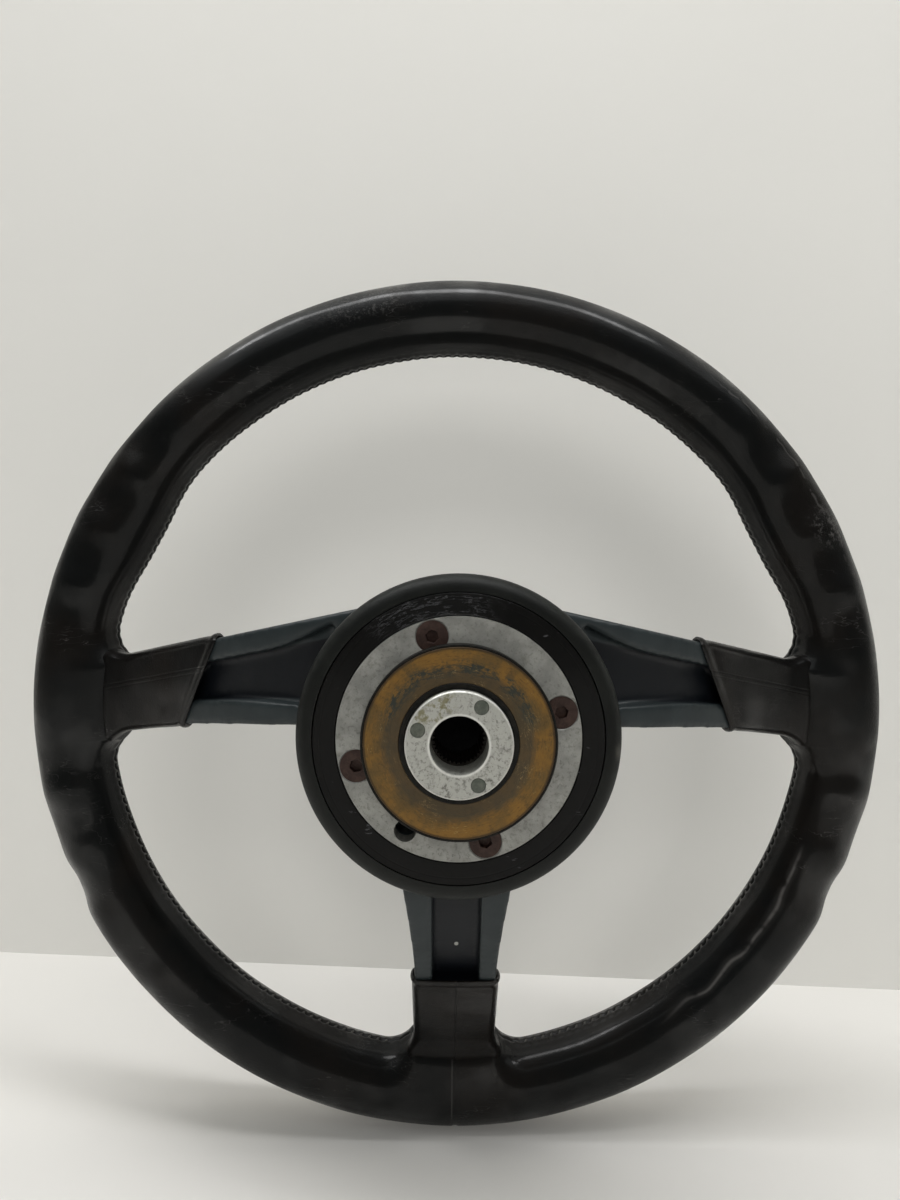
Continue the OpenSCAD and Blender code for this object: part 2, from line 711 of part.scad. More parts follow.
// Return springs, each turn drawn as a ring
module horn_springs() {
    coil_r = spring_wire / 2;
    turn = (spring_l - 2 * press_gap - spring_wire) / spring_turns;
    color([0.66, 0.67, 0.68]) place() around(pin_at, pin_angles)
        translate([0, 0, carrier_back_z + press_gap + coil_r]) union() {
            for (i = [0:spring_turns]) translate([0, 0, i * turn])
                rotate_extrude() translate([(spring_d - spring_wire) / 2, 0]) circle(r = coil_r);
            translate([(spring_d - spring_wire) / 2, 0, 0])
                cylinder(r = 0.8 * coil_r, h = spring_turns * turn);
        }
}

spider();
rim_core();
rim_foam();
rim_leather();
wrap_left();
wrap_right();
wrap_bottom();
hub();
splined_bush();
dowel_pins();
hub_screws();
slip_ring_carrier();
slip_ring();
slip_ring_tab();
shroud();
trim_ring();
horn_base();
base_screws();
contact_insulator();
contact_ring();
horn_lead();
horn_pad();
pad_carrier();
guide_pins();
contact_stud();
horn_springs();
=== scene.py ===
# %% [markdown]
# This lesson dresses a car steering wheel that is seen from its column side. The solids come packed from a
# CAD model, so their sizes and places are settled. What is left is what a photograph shows and a solid
# doesn't: worn leather with finger grips and stitches, painted alloy arms, a stained aluminium hub and a
# brass ring.

# %% Open the packed model
import json
import math

import bmesh
import bpy
import numpy as np
from mathutils import Matrix, Vector


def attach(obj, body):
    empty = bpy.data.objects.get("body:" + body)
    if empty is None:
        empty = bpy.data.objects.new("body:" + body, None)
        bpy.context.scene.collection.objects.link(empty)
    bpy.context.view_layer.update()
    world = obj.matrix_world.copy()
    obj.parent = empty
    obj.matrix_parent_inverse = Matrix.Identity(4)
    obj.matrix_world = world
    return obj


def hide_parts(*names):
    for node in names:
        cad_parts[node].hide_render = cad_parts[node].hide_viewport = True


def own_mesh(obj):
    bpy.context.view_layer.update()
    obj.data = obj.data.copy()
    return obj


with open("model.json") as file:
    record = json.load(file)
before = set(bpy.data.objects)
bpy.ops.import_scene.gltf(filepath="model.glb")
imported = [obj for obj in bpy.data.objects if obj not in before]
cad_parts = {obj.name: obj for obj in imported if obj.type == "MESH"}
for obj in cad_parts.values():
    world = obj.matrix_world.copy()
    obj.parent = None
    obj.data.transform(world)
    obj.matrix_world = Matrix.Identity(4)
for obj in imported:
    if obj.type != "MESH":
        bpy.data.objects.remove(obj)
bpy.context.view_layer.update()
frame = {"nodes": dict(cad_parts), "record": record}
nodes = frame["nodes"]
print("pieces in the packed model:", len(nodes))

# %% [markdown]
# A photograph fixes the camera before anything else. This one stood close to the hub, a little above its
# axis, with a wide lens, which makes the near hub look large against the grip ring. Three small turns in
# degrees, the place and the focal length were found by matching the ring and the hub's circles.

# %% Place the camera
MM = 0.001
DISH = 104 * MM
TILT, ROLL, PAN = (math.radians(a) for a in (-0.61, -0.45, -0.06))
STAND = Vector((-3.7 * MM, DISH - 377.2 * MM, 50.9 * MM))
SENSOR, FOCAL, NEAREST = 36, 24.96, 0.01

aim = Matrix.Rotation(PAN, 3, "Z") @ Matrix.Rotation(TILT, 3, "X") @ Matrix.Rotation(ROLL, 3, "Y")
right, forward, up = (Vector(aim.col[i]) for i in range(3))
lens = bpy.data.cameras.new("camera")
lens.sensor_width = SENSOR
lens.lens = FOCAL
lens.clip_start = NEAREST
camera = bpy.data.objects.new("camera", lens)
camera.matrix_world = Matrix.Translation(STAND) @ Matrix((right, up, -forward)).transposed().to_4x4()
bpy.context.scene.collection.objects.link(camera)
bpy.context.scene.camera = camera
print("camera at", [round(v, 4) for v in camera.location])

# %% [markdown]
# Shader maths reads best as plain expressions. A small class wraps a socket, and each operator adds the Math
# node that it stands for. One method makes every other node, with its settings first and its inputs after.

# %% Write shader maths as expressions
class Value:
    def __init__(self, finish, socket):
        self.finish = finish
        self.socket = socket

    def maths(self, operation, *others):
        return self.finish.node("Math", {"operation": operation}, dict(enumerate((self, *others))))

    def __add__(self, other):
        return self.maths("ADD", other)

    def __radd__(self, other):
        return self.maths("ADD", other)

    def __sub__(self, other):
        return self.maths("SUBTRACT", other)

    def __rsub__(self, other):
        return (self * -1).maths("ADD", other)

    def __mul__(self, other):
        return self.maths("MULTIPLY", other)

    def __rmul__(self, other):
        return self.maths("MULTIPLY", other)

    def __truediv__(self, other):
        return self.maths("DIVIDE", other)

    def __pow__(self, other):
        return self.maths("POWER", other)

    def __abs__(self):
        return self.maths("ABSOLUTE")

    def least(self, other):
        return self.maths("MINIMUM", other)

    def most(self, other):
        return self.maths("MAXIMUM", other)

    def ramp(self, low, high):
        """0 below low, 1 above high, smooth between; low may be the larger."""
        if low > high:
            return 1 - self.ramp(high, low)
        return self.finish.node("MapRange", {"interpolation_type": "SMOOTHSTEP"},
            {"Value": self, "From Min": low, "From Max": high})

    def near(self, centre, half):
        """1 at centre, falling to 0 at half to either side."""
        return abs(self - centre).ramp(half, 0)


print("a value knows:", [name for name in vars(Value) if not name.startswith("_")])

# %% [markdown]
# A finish is a Principled material whose inputs are fed by patterns. Every pattern reads the place on the
# object, so it needs no unwrapping and stays where it is when a mesh changes. The wheel is turned round one
# axis, so many marks are placed by their radius and their angle round it.

# %% Start a finish and its nodes
class Finish:
    def __init__(self, name, **fixed):
        self.material = bpy.data.materials.new(name)
        self.material.use_nodes = True
        self.tree = self.material.node_tree
        self.skin = self.tree.nodes["Principled BSDF"]
        for key, value in fixed.items():
            self.skin.inputs[key.replace("_", " ").title().replace("Ior", "IOR")].default_value = value
        self.place = self.node("TexCoord", {}, {}, output="Object")
        self.x, self.y, self.z = (self.node("SeparateXYZ", {}, {0: self.place}, output=i) for i in range(3))

    def node(self, kind, settings, sockets, output=0):
        made = self.tree.nodes.new("ShaderNode" + kind)
        for key, value in settings.items():
            setattr(made, key, value)
        for key, value in sockets.items():
            if isinstance(value, Value):
                self.tree.links.new(value.socket, made.inputs[key])
            else:
                made.inputs[key].default_value = value
        return Value(self, made.outputs[output])

    def radius(self):
        """Distance from the wheel's axis, in metres."""
        return (self.x * self.x + self.z * self.z) ** 0.5

    def angle(self):
        """Angle round the axis from +X, in radians."""
        return self.z.maths("ARCTAN2", self.x)

    def polar(self, squeeze):
        """A place by radius and angle, for streaks that run round the axis, squeeze metres to a radian."""
        return self.node("CombineXYZ", {}, {0: self.radius(), 1: self.angle() * squeeze, 2: 0.0})

    def noise(self, size, detail=4.0, rough=0.55, at=None):
        """Smooth random values from 0 to 1, with lumps of a size in millimetres."""
        return self.node("TexNoise", {}, {"Vector": at or self.place, "Scale": 1 / (size * MM),
            "Detail": float(detail), "Roughness": rough}, output="Fac")

    def cells(self, size, feature="F1"):
        """Distance to the nearest point, or to the nearest border, of cells of a size in millimetres."""
        return self.node("TexVoronoi", {"feature": feature}, {"Vector": self.place,
            "Scale": 1 / (size * MM)}, output="Distance")

    def stretched(self, x, y, z):
        """The place with each direction squeezed or stretched, for streaks."""
        return self.node("VectorMath", {"operation": "MULTIPLY"}, {0: self.place, 1: (x, y, z)})

    def mix(self, mask, first, second):
        """The first colour where the mask is 0, the second where it is 1."""
        colours = {6: first, 7: second}
        return self.node("Mix", {"data_type": "RGBA"}, {0: mask, **{
            k: v if isinstance(v, Value) else (*v, 1) for k, v in colours.items()}}, output=2)

    def feed(self, socket, value):
        self.tree.links.new(value.socket, self.skin.inputs[socket])

    def bump(self, height, depth):
        """Raises the surface by height times depth, in millimetres."""
        bumps = self.node("Bump", {}, {"Height": height, "Distance": depth * MM, "Strength": 1.0})
        self.feed("Normal", bumps)


print("a finish knows:", [name for name in vars(Finish) if not name.startswith("_")])

# %% [markdown]
# The stage is a pale floor and a pale wall. The wall is seen from one side only, so that views from behind
# the wheel stay clear. Its line with the floor runs a little askew, because the wheel wasn't square to it.

# %% Build the stage
def plate(name, corners, colour, one_sided=False):
    """A flat piece of the stage, which can't be seen from behind if it is one_sided."""
    mesh = bmesh.new()
    mesh.faces.new([mesh.verts.new(c) for c in corners])
    data = bpy.data.meshes.new(name)
    mesh.to_mesh(data)
    mesh.free()
    piece = bpy.data.objects.new(name, data)
    bpy.context.scene.collection.objects.link(piece)
    finish = Finish(name, roughness=0.75)
    finish.feed("Base Color", finish.mix(finish.noise(260, 3), colour, [0.94 * v for v in colour]))
    if one_sided:
        seen = finish.node("NewGeometry", {}, {}, output="Backfacing")
        clear = finish.node("BsdfTransparent", {}, {})
        out = finish.tree.nodes["Material Output"]
        both = finish.node("MixShader", {}, {0: seen, 1: Value(finish, finish.skin.outputs[0]), 2: clear})
        finish.tree.links.new(both.socket, out.inputs["Surface"])
    data.materials.append(finish.material)


FLOOR = -190.3 * MM
WALL_LEFT, WALL_RIGHT = Vector((-0.2992, 0.2753, FLOOR)), Vector((0.2733, 0.2316, FLOOR))
WALL_PAINT, FLOOR_PAINT = (0.79, 0.78, 0.745), (0.84, 0.82, 0.785)
BEYOND, ROOM = 2.5, 3

along = (WALL_RIGHT - WALL_LEFT).normalized()
ends = [WALL_LEFT - BEYOND * along, WALL_RIGHT + BEYOND * along]
tall = Vector((0, 0, ROOM))
plate("wall", [ends[0], ends[1], ends[1] + tall, ends[0] + tall], WALL_PAINT, one_sided=True)
corners = [(-ROOM, -ROOM), (ROOM, -ROOM), (ROOM, ROOM), (-ROOM, ROOM)]
plate("floor", [(x, y, FLOOR) for x, y in corners], FLOOR_PAINT)
print("wall line turned by", round(math.degrees(math.atan2(along.y, along.x)), 2), "degrees")

# %% [markdown]
# Black leather shows the room more than its own colour. The room behind the camera is dark, so the grip
# stays dark where it faces the camera, and its rounded edges catch the pale wall and floor. The ceiling's
# lamps draw the long highlights. The soft lamp only lifts what faces the camera, so it is left out of
# reflections.

# %% Light it from the ceiling
def lamp(name, place, target, size, watts, colour=(1, 1, 1), mirrored=True):
    """A rectangular lamp, in metres, which reflections leave out unless it is mirrored."""
    data = bpy.data.lights.new(name, "AREA")
    data.shape = "RECTANGLE"
    data.size, data.size_y = size
    data.energy = watts
    data.color = colour
    piece = bpy.data.objects.new(name, data)
    piece.location = place
    piece.rotation_euler = (Vector(target) - Vector(place)).to_track_quat("-Z", "Y").to_euler()
    piece.visible_glossy = mirrored
    bpy.context.scene.collection.objects.link(piece)


lamp("ceiling_tube", (-0.1, -0.2, 1.6), (0, 0.1, 0), (2.2, 0.3), 19)
lamp("ceiling", (0.1, -0.4, 2.1), (0, 0, 0), (4.2, 2.6), 17, (0.95, 1, 1))
lamp("soft_lamp", (0.10, -2.0, 0.80), (0, 0.1, 0), (1.3, 1.0), 16, (1, 0.99, 0.97), mirrored=False)
world = bpy.data.worlds.new("room")
world.use_nodes = True
background = world.node_tree.nodes["Background"]
background.inputs["Color"].default_value = (0.86, 0.88, 0.86, 1)
background.inputs["Strength"].default_value = 0.10
bpy.context.scene.world = world
bpy.context.scene.view_settings.view_transform = "Standard"
print("lamps:", [(light.name, light.energy) for light in bpy.data.lights])

# %% [markdown]
# The grip is a ring of leather over foam, and three arms carry it. Their outlines are set out first, in
# millimetres, because the leather has to follow them. The two side arms narrow outwards along slanting edges,
# and the lower one has a waist. Seen from the side, each arm starts flat at the hub and falls to the ring.

# %% Set out the ring and the arms
RING, GRIP, LEATHER = 173.7, 16.3, 1.3
INNER, CREASE, ROOT = RING - GRIP, 152.0, 56.0
TOP_EDGE, TOP_FALL = 52.4, 0.218
LOW_EDGE, LOW_DROP, SWEEP = 0.3, 13.5, 1.9
WAIST, WAIST_AT, WAIST_SPREAD = 16.3, 104.4, 5


def side_upper(x):
    return TOP_EDGE - TOP_FALL * x


def side_lower(x):
    return LOW_EDGE - LOW_DROP * (np.maximum(0, x - ROOT) / (INNER - ROOT)) ** SWEEP


def low_half(x):
    return WAIST + WAIST_SPREAD * (np.maximum(0, WAIST_AT - x) / (WAIST_AT - ROOT)) ** SWEEP


def curve(points, steps=12):
    """Points along a Bezier curve of any degree."""
    points = np.array(points, float)
    n = len(points) - 1
    t = np.linspace(0, 1, steps)[:, None]
    return sum(math.comb(n, i) * (1 - t) ** (n - i) * t ** i * points[i] for i in range(n + 1))


LEAN, THICK = 0.733, 10
STRAIGHT, NECK, PULL, BEYOND_RING = 30, 22, 18, 2
uphill = np.array([-1, LEAN])
bend = np.array([RING - 24, 13.0])
start = bend + STRAIGHT * uphill
shift = THICK * np.array([-LEAN, -1]) / math.hypot(1, LEAN)


def arm_side(flat, root, start, bend, tip):
    """Height of an arm's face over the ring's middle plane, as points outwards from the hub."""
    neck = curve([[flat, root], [flat + NECK, root], start + PULL * uphill, start])
    level = curve([bend, [bend[0] + (bend[1] - tip) / LEAN, tip], [RING + BEYOND_RING, tip]])
    return np.vstack([[[0, root]], neck, level])


back_face = arm_side(56, 68, start, bend, 5)
front_face = arm_side(52, 58, start + shift, bend + shift, -5)
print("arm falls from", back_face[0, 1], "to", back_face[-1, 1], "mm over the ring's plane")

# %% [markdown]
# Where an arm enters the ring, the leather doesn't meet the sleeve at a sharp corner: it flows into it with
# a fillet as wide as a finger. The rule therefore needs to know how far a place on the ring is from each
# arm. The distance to a rounded box, taken across the arm, is a simple answer that also works inside it.

# %% Measure the distance to an arm
ARMS = ("right", "left", "bottom")


def to_arm(arm, x, y, h):
    """Part place, in millimetres, to an arm's own: outwards, across and over the ring's plane."""
    return {"right": (x, y, h), "left": (-x, y, h), "bottom": (-y, x, h)}[arm]


def from_arm(arm, x, y, h):
    """An arm's own place back to the part's frame, in metres."""
    px, pz = {"right": (x, y), "left": (-x, y), "bottom": (y, -x)}[arm]
    return Vector((px * MM, DISH - h * MM, pz * MM))


def arm_section(arm, x, cover):
    """Middle and half size of an arm's section at x, with a cover of leather on it."""
    low, high = (-low_half(x), low_half(x)) if arm == "bottom" else (side_lower(x), side_upper(x))
    back, front = (np.interp(x, f[:, 0], f[:, 1]) for f in (back_face, front_face))
    lean = np.cos(np.arctan(np.gradient(back_face[:, 1], back_face[:, 0])))
    lean = np.interp(x, back_face[:, 0], lean)
    half_h = (back - front) / 2 + cover / lean
    return (low + high) / 2, (high - low) / 2 + cover, (back + front) / 2, half_h, lean


COVER, CORNER, FAR = LEATHER + 0.15, 3.0, 99.0


def arm_distance(arm, x, y, h, taller=0.0):
    """Distance to an arm's sleeve, less than 0 inside it: taller makes the sleeve's box higher."""
    x, y, h = to_arm(arm, x, y, h)
    mid_y, half_y, mid_h, half_h, lean = arm_section(arm, x, COVER)
    a = np.abs(y - mid_y) - half_y + CORNER
    b = (np.abs(h - mid_h) - half_h - taller) * lean + CORNER
    flat = np.hypot(np.maximum(a, 0), np.maximum(b, 0)) + np.minimum(np.maximum(a, b), 0) - CORNER
    return np.where(x > 0, flat, FAR)


print("ring's inner side to the right arm:", round(float(arm_distance("right", INNER, 30.0, 0.0)), 1), "mm")

# %% [markdown]
# The grip's section is round, but a hand has a place on it: a thumb swelling above each side arm, hollows
# for four fingers above the arm and two below, and a notch for the lowest finger. All of it can be said by a
# rule of two angles, one round the wheel and one round the section, which gives the section's radius there.
# Sculpting by hand would give the same look, but not the same on the left and the right.

# %% Shape the grip by two angles
def wrapped(a):
    """The same angle, in degrees from -180 to 180."""
    return (a + 180) % 360 - 180


def bump(x, half):
    """1 at 0, with a rather flat top, falling to 0.37 at half to either side."""
    return np.exp(-(np.abs(x) / half) ** 2.6)


def above_arm(t):
    """Angle above the nearer side arm, the same on the left and on the right."""
    t = wrapped(t)
    return np.where(np.abs(t) > 90, wrapped(180 - t), t)


THUMB, THUMB_RISE = 28, 3.5
FINGERS, FINGER_HALF, FINGER_DEPTH = [40, 31, 22, 13, -8, -17], 3.24, 2.2
NOTCH, NOTCH_DEPTH, NOTCH_SLOPE = -26, 2.0, 0.9
STITCH, BUTT = 4.0, 270.2
SEAM_STITCHES = int(360 / math.degrees(STITCH / INNER))


def grip_radius(t, p):
    """Radius of the section: t runs round the wheel, p round the section from its outside, in degrees."""
    a = above_arm(t)
    r = GRIP + THUMB_RISE * bump(a - THUMB, 8.5) * bump(wrapped(p - 185), 62)
    hollow = np.max([bump(a - f, FINGER_HALF) for f in FINGERS], axis=0)
    r = r - FINGER_DEPTH * hollow * bump(wrapped(p - 73), 37)
    notch = NOTCH_DEPTH * bump(a - NOTCH, 3.0) + NOTCH_SLOPE * bump(a - NOTCH - 6, 6.5)
    return r - notch * bump(wrapped(p - 30), 66)


def leather_relief(t, p):
    """Small forms of the leather alone: the seam's valley, puckers between stitches and slow lumps."""
    inside = np.abs(wrapped(p - 180))
    pucker = np.abs(np.sin(np.radians(t * SEAM_STITCHES / 2)))
    slow = np.sin(np.radians(t * 11 + p)) * np.sin(np.radians(t * 7 - 2 * p))
    quick = np.sin(np.radians(t * 23 + 2 * p + 40)) * np.sin(np.radians(3 * p + 5 * t))
    lumps = 0.12 * (slow + 0.6 * quick)
    valley = 0.9 * bump(inside, 2.2) - 0.55 * pucker * bump(inside - 7, 6)
    drawn = 0.12 * bump(inside - 14.5, 2.5) * (0.4 + 0.6 * pucker)
    butt = 0.5 * bump(wrapped(t - BUTT), 0.22)
    return lumps - valley - drawn - butt


print("radius at the thumb:", round(float(grip_radius(THUMB, 180.0)), 2), "mm; stitches:", SEAM_STITCHES)

# %% [markdown]
# A mesh that is built by rules has to end clean: doubled vertices are merged where its edges meet, its faces
# point outwards, and it becomes an object at the origin, so that every piece shares the part's frame.

# %% End a mesh as a piece
MERGE = 1e-7


def new_piece(name, mesh):
    """Ends a bmesh as a smooth object at the origin."""
    bmesh.ops.remove_doubles(mesh, verts=mesh.verts, dist=MERGE)
    bmesh.ops.recalc_face_normals(mesh, faces=mesh.faces)
    data = bpy.data.meshes.new(name)
    mesh.to_mesh(data)
    mesh.free()
    data.shade_smooth()
    piece = bpy.data.objects.new(name, data)
    bpy.context.scene.collection.objects.link(piece)
    return piece


print("vertices closer than", MERGE, "m are merged")

# %% [markdown]
# The leather starts as a flat grid, which is then bent round the ring and merged where its edges meet. A
# spin would do the same, but is slow with so many steps. The fillets and the seam need finer steps than the
# rest, so the grid's angles are pushed together where detail lies, the way a cloth is gathered.

# %% Gather the angles
FINE = 7200


def gathered(count, centres, half, dense):
    """count angles over a full turn, dense times closer together within half of each centre."""
    fine = np.linspace(0, 360, FINE, endpoint=False)
    weight = 1 + (dense - 1) * np.max([bump(wrapped(fine - c), half) for c in centres], axis=0)
    total = np.concatenate([[0], np.cumsum(weight)])
    even = np.linspace(0, total[-1], count, endpoint=False)
    return np.interp(even, total, np.linspace(0, 360, FINE + 1))


TURNS, SECTION = 1300, 74
ARM_EDGES = [6.5, -4.8, 173.5, 184.8, 264.1, 275.9]
round_wheel = gathered(TURNS, ARM_EDGES, 3.2, 3.0)
round_section = gathered(SECTION, [180], 16, 3.0)
print("steps of", np.round([np.diff(round_wheel).min(), np.diff(round_wheel).max()], 2), "degrees")

# %% Flow the leather into the sleeves
FILLET = 15.0


def quarter(reach):
    """How far a quarter circle of the fillet's radius has turned away, reach before its end."""
    reach = np.clip(reach, 0, FILLET)
    return FILLET - np.sqrt(FILLET ** 2 - reach ** 2)


GIVE, TALLER = 13, 9.0


def fillet(t, q, h):
    """Draws the skin at q from the axis and h over the ring along each arm's sleeve, up to the crease."""
    x, z = q * np.cos(np.radians(t)), q * np.sin(np.radians(t))
    gap = np.min([arm_distance(arm, x, z, h, TALLER) for arm in ARMS], axis=0)
    inner = np.clip((RING - q) / GIVE, 0, 1)
    inner = inner * inner * (3 - 2 * inner)
    return q - inner * np.minimum(quarter(FILLET - np.maximum(gap, 0)), np.maximum(q - CREASE, 0))


print("fillet at 5 mm from an arm draws", round(float(quarter(FILLET - 5)), 2), "mm")

# %% Press in the grip
ring = bmesh.new()
bmesh.ops.create_grid(ring, x_segments=TURNS, y_segments=SECTION, size=1)
steps = (np.array([v.co.xy for v in ring.verts]) / 2 + 0.5) * (TURNS, SECTION)
column, row = (np.round(steps).astype(int) % (TURNS, SECTION)).T
t, p = round_wheel[column], round_section[row]
r = grip_radius(t, p) + leather_relief(t, p)
h = r * np.sin(np.radians(p))
q = fillet(t, RING + r * np.cos(np.radians(p)), h)
moved = np.stack([q * np.cos(np.radians(t)) * MM, DISH - h * MM, q * np.sin(np.radians(t)) * MM], 1)
for v, place in zip(ring.verts, moved):
    v.co = place
rim = new_piece("grip_leather", ring)
print("faces:", len(rim.data.polygons))
print("grip from", np.round(moved.min(0), 4), "to", np.round(moved.max(0), 4))

# %% [markdown]
# Each arm's outer end wears a leather sleeve. Its section is a flat box with round corners, and it is pulled
# along the arm, which bends and narrows on the way. A circle is extruded into a plain tube first, with one
# step for each station, and the tube's vertices then take their places on the arm. The first stations roll
# inwards: they are the hem, with its soft edge and the dark gap behind it.

# %% Pull the sleeves over the arms
SLEEVE_ENDS = {"right": (94.5, 109.5), "left": (94.5, 109.5), "bottom": (WAIST_AT, WAIST_AT)}
HEM = [(3.5, 1.25), (1.1, 1.2), (0.35, 0.95), (0.0, 0.5), (0.15, 0.0), (0.7, -0.35), (1.6, -0.45),
    (2.6, -0.35), (3.6, -0.05), (4.8, 0.2), (6.2, 0.05)]
TUCKED_AT, SNUG, SUNKEN, FLAT_END = 161, 0.25, 0.5, 14
SLEEVE_CORNER, HEM_CORNER = 6.2, 4.6


def sleeve(arm, corners=72, stations=30):
    """The hem's pairs are mm along the arm from the sleeve's end, and mm inwards from its skin."""
    tube = bmesh.new()
    bmesh.ops.create_circle(tube, segments=corners, radius=1)
    edges = tube.edges[:]
    for _ in range(len(HEM) + stations):
        made = bmesh.ops.extrude_edge_only(tube, edges=edges)["geom"]
        edges = [e for e in made if isinstance(e, bmesh.types.BMEdge)]
        bmesh.ops.translate(tube, verts=[v for v in made if isinstance(v, bmesh.types.BMVert)], vec=(0, 0, 1))
    top, low = SLEEVE_ENDS[arm]
    for v in tube.verts:
        k, c, s = round(v.co.z), v.co.x, v.co.y
        side = max(-1, min(1, 1.9 * c))
        first = (top + low) / 2 + (top - low) / 2 * side
        if k < len(HEM):
            x, inset = first + HEM[k][0], HEM[k][1]
        else:
            hem_end = first + HEM[-1][0]
            x, inset = hem_end + (TUCKED_AT - hem_end) * (k - len(HEM) + 1) / (stations + 1), 0.0
        mid_y, half_y, mid_h, half_h, lean = arm_section(arm, x, LEATHER + SNUG - inset)
        flare = float(quarter(min(x, CREASE) - (INNER - FILLET)))
        half_y, half_h = half_y + flare, half_h + 0.6 * flare
        corner = SLEEVE_CORNER if inset < 0.5 else HEM_CORNER
        y = (half_y - corner) * side + corner * c
        fading = min(1, max(0, (CREASE - x) / FLAT_END))
        crown = -SUNKEN * (1 - side ** 4) * math.copysign(fading, s)
        h = (half_h - corner / lean) * max(-1, min(1, 2.6 * s)) + corner / lean * s + crown
        v.co = from_arm(arm, x, mid_y + y, mid_h + h)
    return new_piece("sleeve_" + arm, tube)


sleeves = {arm: sleeve(arm) for arm in ARMS}
print("sleeves:", [(s.name, len(s.data.polygons)) for s in sleeves.values()])

# %% [markdown]
# The grip's edges are laced together along the inside of the ring. One stitch is a short bead of thread that
# lies slanting over the seam, and the same few faces are set round the ring, leaving out the arms.

# %% Lace the seam
BEAD, SLANT, LACE_END = (0.55, 0.5, 2.3), 114, 5.5
thread = bmesh.new()
angles = (np.arange(SEAM_STITCHES) + 0.5) * 360 / SEAM_STITCHES
inner = INNER * np.cos(np.radians(angles)), INNER * np.sin(np.radians(angles))
clear = np.min([arm_distance(arm, *inner, 0 * angles) for arm in ARMS], axis=0) > LACE_END
bead = Matrix.Rotation(math.radians(SLANT), 4, "X") @ Matrix.Diagonal((*BEAD, 1))
for angle in angles[clear]:
    lift = Matrix.Translation(((RING - float(grip_radius(angle, 180.0)) + 0.1) * MM, DISH, 0))
    bmesh.ops.create_uvsphere(thread, u_segments=8, v_segments=6, radius=MM,
        matrix=Matrix.Rotation(-math.radians(angle), 4, "Y") @ lift @ bead)
stitches = new_piece("seam_stitches", thread)
print("stitches:", int(clear.sum()))

# %% [markdown]
# The solids show each return spring as flat rings, which is enough to test the horn. A real spring is a
# helix: a small circle is spun round the pin and climbs a little with each step. A spring stands on the horn
# plate, FOOT from the boss's end face, and fills the SPACE up to the pad's plate. When the horn is pressed,
# the springs have to get shorter, but here they are wound at their resting length only.

# %% Wind the return springs
PIN, WIRE, COIL, WINDS = 36.4, 0.9, 9.6, 4
FOOT, SPACE, TRAVEL = 42.02, 7.96, 2.4
coils = bmesh.new()
climb = WINDS * 24
for angle in (0, 120, 240):
    turned = Matrix.Rotation(-math.radians(angle), 4, "Y")
    place = turned @ Matrix.Translation(((PIN + (COIL - WIRE) / 2) * MM, (FOOT + WIRE / 2) * MM, 0))
    section = bmesh.ops.create_circle(coils, cap_ends=True, segments=8, radius=WIRE / 2 * MM, matrix=place)
    face = [f for f in coils.faces if set(f.verts) == set(section["verts"])]
    bmesh.ops.spin(coils, geom=face, cent=turned @ Vector((PIN * MM, 0, 0)), axis=(0, 1, 0),
        dvec=(0, (SPACE - WIRE) / climb * MM, 0), angle=2 * math.pi * WINDS, steps=climb)
springs = new_piece("return_springs", coils)
print("springs:", len(springs.data.polygons), "faces")

# %% [markdown]
# A CAD solid has sharp edges, and an edge without a small round never catches the light. A copy of its mesh
# is merged into one skin and gets a narrow bevel, which cast and turned metal both have.

# %% Round the edges of the metal and plastic
SHARP, ROUND_STEPS = math.radians(32), 3
WELD, NEARLY_FLAT = 2e-6, math.radians(0.4)


def copied(node):
    """A new object that shows a copy of a CAD piece's mesh, without its materials."""
    data = nodes[node].data.copy()
    data.materials.clear()
    piece = bpy.data.objects.new(node + "_finished", data)
    bpy.context.scene.collection.objects.link(piece)
    return piece


def rounded(node, width):
    """A copy of a CAD piece with its sharp edges bevelled, width in millimetres."""
    piece = copied(node)
    skin = bmesh.new()
    skin.from_mesh(piece.data)
    bmesh.ops.remove_doubles(skin, verts=skin.verts, dist=WELD)
    bmesh.ops.dissolve_limit(skin, angle_limit=NEARLY_FLAT, verts=skin.verts, edges=skin.edges)
    skin.to_mesh(piece.data)
    skin.free()
    piece.data.shade_smooth()
    piece.data.set_sharp_from_angle(angle=SHARP)
    bevel = piece.modifiers.new("edge", "BEVEL")
    bevel.width = width * MM
    bevel.segments = ROUND_STEPS
    bevel.limit_method = "ANGLE"
    bevel.angle_limit = SHARP
    bevel.harden_normals = True
    bevel.use_clamp_overlap = True
    return piece


EDGES = {"shroud": 0.35, "trim_ring": 0.4, "hub": 0.35, "slip_ring": 0.25, "slip_ring_carrier": 0.25,
    "hub_screws": 0.25, "dowel_pins": 0.3, "horn_pad": 0.8, "horn_base": 0.2, "pad_carrier": 0.2}
finished = {node: rounded(node, width) for node, width in EDGES.items()}
print("rounded:", {n: len(p.data.polygons) for n, p in finished.items()})

# %% [markdown]
# The arms are a sand casting, so each of their edges is as round as a pencil, also where three of them meet.
# A bevel stops short at such corners. A voxel remesh turns the copy into even small faces instead, and a few
# turns of smoothing then round all edges at once and leave flat places flat.

# %% Soften the casting
def softened(node, voxel, turns):
    """A copy of a CAD piece in even faces of voxel millimetres, smoothed turns times."""
    piece = copied(node)
    remesh = piece.modifiers.new("even_faces", "REMESH")
    remesh.mode = "VOXEL"
    remesh.voxel_size = voxel * MM
    smooth = piece.modifiers.new("round_edges", "SMOOTH")
    smooth.factor = 0.5
    smooth.iterations = turns
    ready = piece.evaluated_get(bpy.context.evaluated_depsgraph_get())
    piece.data = bpy.data.meshes.new_from_object(ready)
    piece.modifiers.clear()
    piece.data.shade_smooth()
    return piece


finished["spider"] = softened("spider", 1.15, 7)
print("casting:", len(finished["spider"].data.polygons), "faces")
